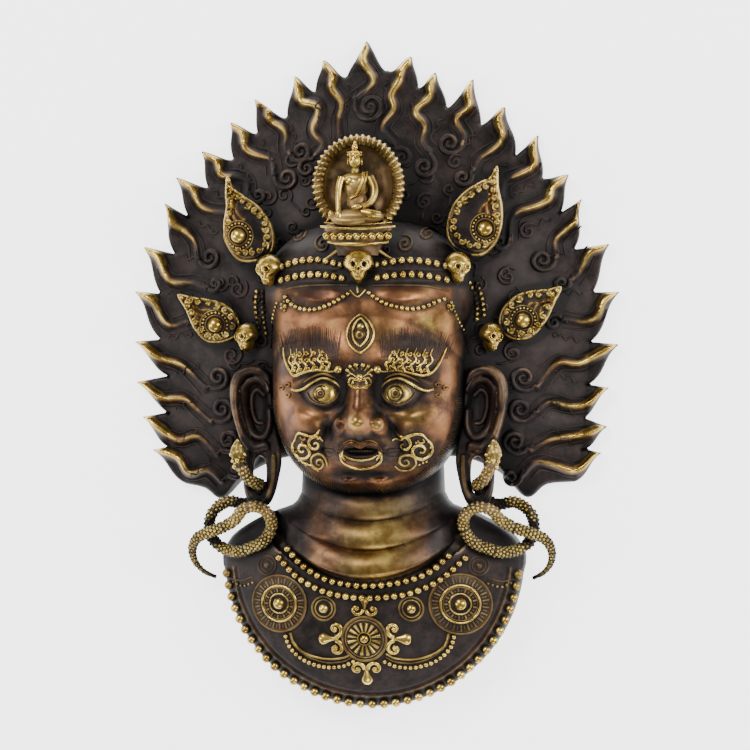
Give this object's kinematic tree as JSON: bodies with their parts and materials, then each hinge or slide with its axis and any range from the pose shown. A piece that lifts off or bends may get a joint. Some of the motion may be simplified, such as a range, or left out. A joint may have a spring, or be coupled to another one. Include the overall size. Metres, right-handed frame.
{
  "type": "bhairava mask",
  "caption": "Hollow cast metal mask of a wrathful deity: crowned face, flame halo, pierced ears with snake earrings, ringed neck and round beaded collar.",
  "frame": {"origin": "middle of the footprint, on the surface that the mask's back lies on", "axes": "+Z comes out of the face, +Y points to the top flame, +X is the viewer's right"},
  "size_m": [0.337, 0.4652, 0.1189],
  "materials": {
    "cast_metal": "aged copper and brass, gilt on the raised carving, dark in the hollows",
    "snake_metal": "worn brass with dark recesses"
  },
  "bodies": {
    "root": {"mask": "cast_metal", "snake_earring_left": "snake_metal", "snake_earring_right": "snake_metal"}
  },
  "joints": []
}
